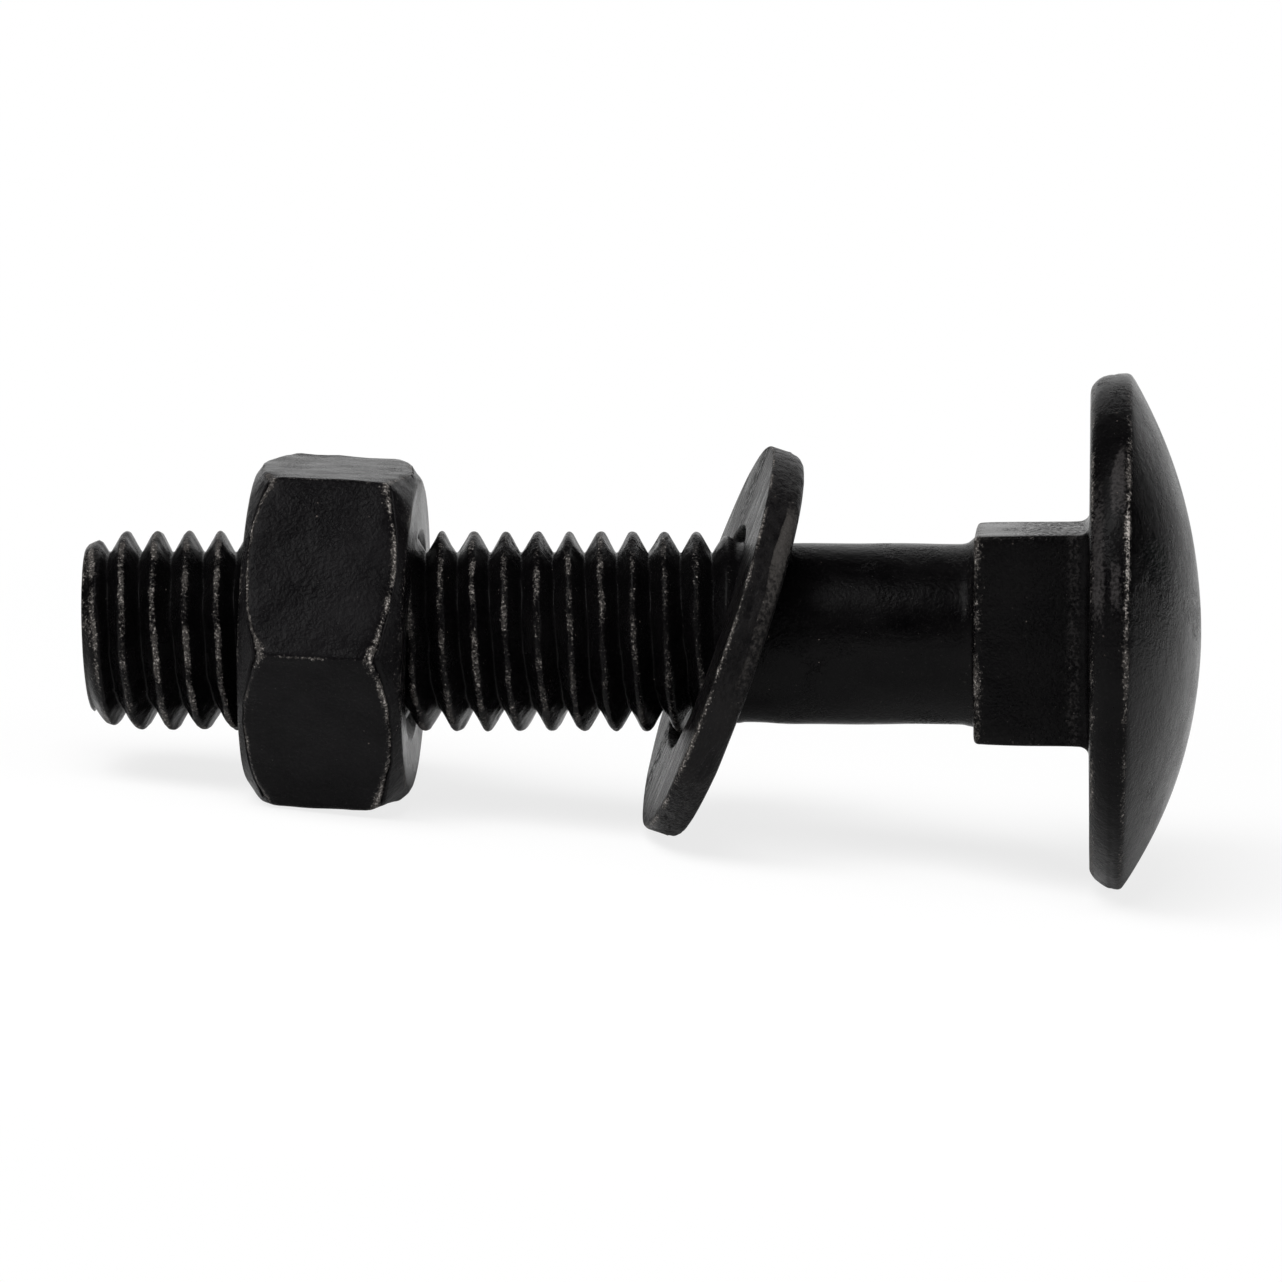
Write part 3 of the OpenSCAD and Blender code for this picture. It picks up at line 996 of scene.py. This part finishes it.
def noise(tree, vector, scale, detail=2.0, rough=0.5):
    """A noise texture on a vector, with its scale as a number or a socket."""
    made = node(tree, "ShaderNodeTexNoise")
    tree.links.new(vector, made.inputs["Vector"])
    if isinstance(scale, (int, float)):
        made.inputs["Scale"].default_value = scale
    else:
        tree.links.new(scale, made.inputs["Scale"])
    made.inputs["Detail"].default_value = detail
    made.inputs["Roughness"].default_value = rough
    return made.outputs["Fac"]


print("helpers ready")

# %% [markdown]
# ** Rubbed edges.** On a real edge the black comes off in specks and short strokes, and never as
# an even line. A coarse noise makes the wear strong here and weak there, and a fine one eats
# into its border. What is rubbed isn't bright all over either: most of it is a dull brown grey.
# Light specks on it are painted glints, highlights of bare metal painted into the colour, and
# there are more of them where the edge stands out most. The group puts out both masks.

# %% Node group: rubbed edges
rubbed, start, end = new_group(
    "Rubbed edges",
    [
        ("Place", "NodeSocketVector", None),
        ("Exposed", "NodeSocketFloat", 0.0),
        ("Fine", "NodeSocketFloat", 9.0),
        ("Patchy", "NodeSocketFloat", 1.0),
        ("Amount", "NodeSocketFloat", 0.5),
    ],
    [("Rubbed", "NodeSocketFloat"), ("Painted glints", "NodeSocketFloat")],
)
patches = noise(rubbed, start.outputs["Place"], start.outputs["Patchy"], 2.0, 0.5)
strength = sum_of(rubbed, "ADD", between(rubbed, patches, 0.36, 0.64), start.outputs["Amount"])
reach = sum_of(rubbed, "MULTIPLY", start.outputs["Exposed"], strength)
specks = noise(rubbed, start.outputs["Place"], start.outputs["Fine"], 4.0, 0.75)
eaten = sum_of(rubbed, "MULTIPLY", sum_of(rubbed, "SUBTRACT", specks, 0.5), 3.4)
rubbed.links.new(between(rubbed, sum_of(rubbed, "ADD", reach, eaten), 0.45, 1.10), end.inputs["Rubbed"])
# Painted glints: light specks that stand in for highlights on bare metal.
finer = sum_of(rubbed, "MULTIPLY", start.outputs["Fine"], 1.15)
painted_glints = noise(rubbed, start.outputs["Place"], finer, 3.0, 0.75)
bared = sum_of(rubbed, "SUBTRACT", start.outputs["Exposed"], 0.85, clamp=True)
painted_glints = sum_of(rubbed, "ADD", painted_glints, sum_of(rubbed, "MULTIPLY", bared, 0.35))
rubbed.links.new(between(rubbed, painted_glints, 0.51, 0.70), end.inputs["Painted glints"])
print(rubbed.name, len(rubbed.nodes), "nodes")

# %% [markdown]
# **Pebbled oxide.** Close up, the black isn't smooth. It has fine pebbles, a little larger
# dimples, and cloudy patches that are darker or lighter. One group gives the height for the
# bump, the pebbles as a fine grain, and the clouds as a shade.

# %% Node group: pebbled oxide
pebbled, start, end = new_group(
    "Pebbled oxide",
    [("Place", "NodeSocketVector", None), ("Fine", "NodeSocketFloat", 7.0)],
    [
        ("Height", "NodeSocketFloat"),
        ("Grain", "NodeSocketFloat"),
        ("Cloud", "NodeSocketFloat"),
    ],
)
small = noise(pebbled, start.outputs["Place"], start.outputs["Fine"], 3.0, 0.6)
wider = noise(pebbled, start.outputs["Place"], sum_of(pebbled, "MULTIPLY", start.outputs["Fine"], 0.28))
cloud = noise(pebbled, start.outputs["Place"], 0.45, 4.0, 0.6)
pebbled.links.new(sum_of(pebbled, "ADD", small, wider), end.inputs["Height"])
pebbled.links.new(between(pebbled, small, 0.35, 0.65), end.inputs["Grain"])
pebbled.links.new(between(pebbled, cloud, 0.3, 0.7), end.inputs["Cloud"])
print(pebbled.name, len(pebbled.nodes), "nodes")

# %% [markdown]
# **Pits.** Forging scale leaves small pits where it was hammered in. They come in patches, so a
# wide noise chooses the patches and a fine one places the pits in them. The input "Everywhere"
# asks for pits all over where it is 1, and keeps a place smooth where it is -1.

# %% Node group: pits
pitted, start, end = new_group(
    "Pits",
    [
        ("Place", "NodeSocketVector", None),
        ("Fine", "NodeSocketFloat", 6.0),
        ("Patchy", "NodeSocketFloat", 0.35),
        ("Everywhere", "NodeSocketFloat", 0.0),
    ],
    [("Pits", "NodeSocketFloat")],
)
holes = noise(pitted, start.outputs["Place"], start.outputs["Fine"], 3.0, 0.6)
areas = noise(pitted, start.outputs["Place"], start.outputs["Patchy"], 2.0, 0.5)
deep = between(pitted, holes, 0.49, 0.60)
chosen = sum_of(
    pitted, "ADD", between(pitted, areas, 0.54, 0.68), start.outputs["Everywhere"], clamp=True
)
pitted.links.new(sum_of(pitted, "MULTIPLY", deep, chosen), end.inputs["Pits"])
print(pitted.name, len(pitted.nodes), "nodes")

# %% [markdown]
# **Dust.** A few pale specks sit on every surface. A cell texture scatters one point in each of
# its cells, and only the points of a few cells are shown, as small dots.

# %% Node group: dust
dusty, start, end = new_group(
    "Dust",
    [
        ("Place", "NodeSocketVector", None),
        ("Cells", "NodeSocketFloat", 1.6),
        ("Dot size", "NodeSocketFloat", 0.07),
        ("Share", "NodeSocketFloat", 0.2),
    ],
    [("Dots", "NodeSocketFloat")],
)
cells = node(dusty, "ShaderNodeTexVoronoi")
dusty.links.new(start.outputs["Place"], cells.inputs["Vector"])
dusty.links.new(start.outputs["Cells"], cells.inputs["Scale"])
near = sum_of(dusty, "LESS_THAN", cells.outputs["Distance"], start.outputs["Dot size"])
split = node(dusty, "ShaderNodeSeparateColor")
dusty.links.new(cells.outputs["Color"], split.inputs["Color"])
chosen = sum_of(dusty, "LESS_THAN", split.outputs["Red"], start.outputs["Share"])
faint = between(dusty, split.outputs["Green"], 0.0, 1.0, 0.25, 1.0)
dots = sum_of(dusty, "MULTIPLY", sum_of(dusty, "MULTIPLY", near, chosen), faint)
dusty.links.new(dots, end.inputs["Dots"])
print(dusty.name, len(dusty.nodes), "nodes")

# %% [markdown]
# **Streaks.** Rolling and punching leave fine lines. A noise on coordinates that are squeezed
# across the lines and stretched along them draws such streaks.

# %% Node group: streaks
streaky, start, end = new_group(
    "Streaks",
    [
        ("Place", "NodeSocketVector", None),
        ("Squeeze", "NodeSocketVector", (1.0, 1.0, 1.0)),
        ("Fine", "NodeSocketFloat", 1.0),
    ],
    [("Lines", "NodeSocketFloat")],
)
squeezed = node(streaky, "ShaderNodeVectorMath", operation="MULTIPLY")
streaky.links.new(start.outputs["Place"], squeezed.inputs[0])
streaky.links.new(start.outputs["Squeeze"], squeezed.inputs[1])
lines = noise(streaky, squeezed.outputs["Vector"], start.outputs["Fine"], 4.0, 0.65)
streaky.links.new(between(streaky, lines, 0.32, 0.68), end.inputs["Lines"])
print(streaky.name, len(streaky.nodes), "nodes")

# %% [markdown]
# ## The three finishes
#
# Each finish is a satin black with its own clouds, grain, dust and rubbed edges, with painted
# glints on the rubbed edges and grey patches that are partly painted reflections. The numbers
# that are the same all over a piece are set on the shader itself. Only what changes over the
# surface comes in through nodes: the colour, the roughness and the bump.

# %% Helper for the finishes
def place_group(tree, group, place, **values):
    """A node group in a material, fed with the place and its own values."""
    made = node(tree, "ShaderNodeGroup", node_tree=group)
    tree.links.new(place, made.inputs["Place"])
    for name, value in values.items():
        socket = made.inputs[name.replace("_", " ")]
        if hasattr(value, "is_output"):
            tree.links.new(value, socket)
        else:
            socket.default_value = value
    return made.outputs


def mixed(tree, mask, first, second):
    """A colour that goes from the first to the second with a mask."""
    made = node(tree, "ShaderNodeMix", data_type="RGBA")
    tree.links.new(mask, made.inputs["Factor"])
    for socket, value in ((made.inputs[6], first), (made.inputs[7], second)):
        if hasattr(value, "is_output"):
            tree.links.new(value, socket)
        else:
            socket.default_value = (*value, 1)
    return made.outputs[2]


def black_oxide(
    name, dark, light, streak, grey, fine, amount, squeeze, stretch, streaked, groove, satin, pits, dots,
    relief,
):
    """A black oxide finish. The colours are dark and light oxide, its streaks, and the grey of its grey
    patches, partly painted sheen.
    """
    material, tree = fresh_material(name)
    worn = node(tree, "ShaderNodeAttribute", attribute_name="worn").outputs["Fac"]
    grey_and_sheen = node(tree, "ShaderNodeAttribute", attribute_name="grey_and_sheen").outputs["Fac"]
    pitted_here = node(tree, "ShaderNodeAttribute", attribute_name="pitted").outputs["Fac"]
    own = node(tree, "ShaderNodeAttribute", attribute_name="own").outputs["Vector"]
    oxide = place_group(tree, pebbled, own, Fine=fine)
    rub = place_group(tree, rubbed, own, Exposed=worn, Fine=9.0, Patchy=0.9, Amount=amount)
    dust = place_group(tree, dusty, own, Cells=2.0, Dot_size=0.065, Share=dots)["Dots"]
    lines = place_group(tree, streaky, own, Squeeze=squeeze, Fine=1.0)["Lines"]
    drawn = node(tree, "ShaderNodeVectorMath", operation="MULTIPLY")
    drawn.inputs[1].default_value = stretch
    tree.links.new(own, drawn.inputs[0])
    holes = place_group(
        tree, pitted, drawn.outputs["Vector"], Fine=6.5, Patchy=0.33, Everywhere=pitted_here
    )["Pits"]
    # Grey patches with ragged borders: painted reflections on the rim, partly painted sheen on the
    # washer's broken band, and the grey band beside the fillet.
    ragged = sum_of(tree, "MULTIPLY", sum_of(tree, "SUBTRACT", oxide["Grain"], 0.5), 0.5)
    grey_and_sheen_mask = between(tree, sum_of(tree, "ADD", grey_and_sheen, ragged), 0.15, 0.95)

    shade = mixed(tree, oxide["Cloud"], dark, light)
    shade = mixed(tree, sum_of(tree, "MULTIPLY", oxide["Grain"], 0.35), shade, light)
    shade = mixed(tree, sum_of(tree, "MULTIPLY", lines, streaked), shade, streak)
    shade = mixed(tree, grey_and_sheen_mask, shade, grey)
    # The rubbed colour is a dull brown grey with painted glints as light specks.
    rubbed_metal_and_glints = mixed(tree, rub["Painted glints"], (0.034, 0.031, 0.029), (0.35, 0.325, 0.305))
    shade = mixed(tree, rub["Rubbed"], shade, rubbed_metal_and_glints)
    shade = mixed(tree, dust, shade, (0.085, 0.072, 0.065))

    rough = between(tree, oxide["Cloud"], 0.0, 1.0, satin - 0.04, satin + 0.04)
    rough = sum_of(tree, "ADD", rough, sum_of(tree, "MULTIPLY", rub["Rubbed"], 0.15))
    rough = sum_of(tree, "ADD", rough, sum_of(tree, "MULTIPLY", holes, pits))
    rough = sum_of(tree, "ADD", rough, sum_of(tree, "MULTIPLY", lines, streaked * 0.2))

    height = sum_of(tree, "ADD", oxide["Height"], sum_of(tree, "MULTIPLY", lines, groove))
    height = sum_of(tree, "SUBTRACT", height, sum_of(tree, "MULTIPLY", rub["Rubbed"], 0.3))
    height = sum_of(tree, "SUBTRACT", height, sum_of(tree, "MULTIPLY", holes, pits * 5))
    bump = node(tree, "ShaderNodeBump")
    bump.inputs["Strength"].default_value = relief
    bump.inputs["Distance"].default_value = 0.00004
    tree.links.new(height, bump.inputs["Height"])

    steel = node(tree, "ShaderNodeBsdfPrincipled")
    steel.inputs["Specular IOR Level"].default_value = 0.06
    tree.links.new(shade, steel.inputs["Base Color"])
    tree.links.new(rough, steel.inputs["Roughness"])
    tree.links.new(bump.outputs["Normal"], steel.inputs["Normal"])
    surface = node(tree, "ShaderNodeOutputMaterial")
    tree.links.new(steel.outputs["BSDF"], surface.inputs["Surface"])
    print(name, len(tree.nodes), "nodes")
    return material


# %% Finishes of the bolt, the nut and the washer
bolt_black = black_oxide(
    "Bolt black oxide",
    dark=(0.0009, 0.0008, 0.0010),
    light=(0.0027, 0.0025, 0.0027),
    streak=(0.008, 0.0075, 0.0075),
    # The grey of the rim's painted reflections and of the band beside the fillet.
    grey=(0.027, 0.025, 0.025),
    fine=8.0,
    amount=0.55,
    squeeze=(0.4, 1.6, 1.6),
    stretch=(1.0, 1.0, 1.0),
    streaked=0.15,
    groove=0.05,
    satin=0.23,
    pits=0.40,
    dots=0.25,
    relief=0.5,
)
nut_black = black_oxide(
    "Nut black oxide",
    dark=(0.0018, 0.0016, 0.0019),
    light=(0.0050, 0.0046, 0.0051),
    streak=(0.009, 0.0085, 0.009),
    grey=(0.030, 0.028, 0.028),
    fine=7.0,
    amount=0.50,
    squeeze=(1.2, 1.2, 1.2),
    stretch=(1.0, 1.0, 1.0),
    streaked=0.10,
    groove=0.1,
    satin=0.24,
    pits=0.10,
    dots=0.15,
    relief=0.75,
)
washer_black = black_oxide(
    "Washer black oxide",
    dark=(0.0022, 0.0020, 0.0023),
    light=(0.0065, 0.0061, 0.0064),
    streak=(0.012, 0.011, 0.011),
    # The grey of the broken band, partly real and partly a painted sheen.
    grey=(0.040, 0.037, 0.035),
    fine=6.0,
    amount=0.30,
    squeeze=(2.5, 2.2, 0.35),
    stretch=(1.6, 1.4, 0.45),
    streaked=0.5,
    groove=2.0,
    satin=0.25,
    pits=0.55,
    dots=0.12,
    relief=0.7,
)

# %% [markdown]
# ## Putting the pieces in the frame
#
# Each skin takes the place of its plain CAD node, which is hidden, rides on that node's body, so
# that the nut and the washer move as they should, and gets its finish.

# %% Dress, ride and replace
for piece, finish, body, slot in (
    (bolt, bolt_black, "bolt", "bolt_steel"),
    (washer, washer_black, "washer", "washer_steel"),
    (nut, nut_black, "nut", "nut_steel"),
):
    piece.data.materials.append(finish)
    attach(piece, body)
    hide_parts(body)
    print(piece.name, "rides on", body, "with", finish.name)

# %% Render settings of the look, and the measured boxes
bpy.context.scene.view_settings.view_transform = "Standard"
visual_box = [list(corner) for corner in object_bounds()]
for name, box in (("CAD", cad_box), ("visual", visual_box)):
    print(name, "box in mm", [[round(v / MM, 2) for v in corner] for corner in box])
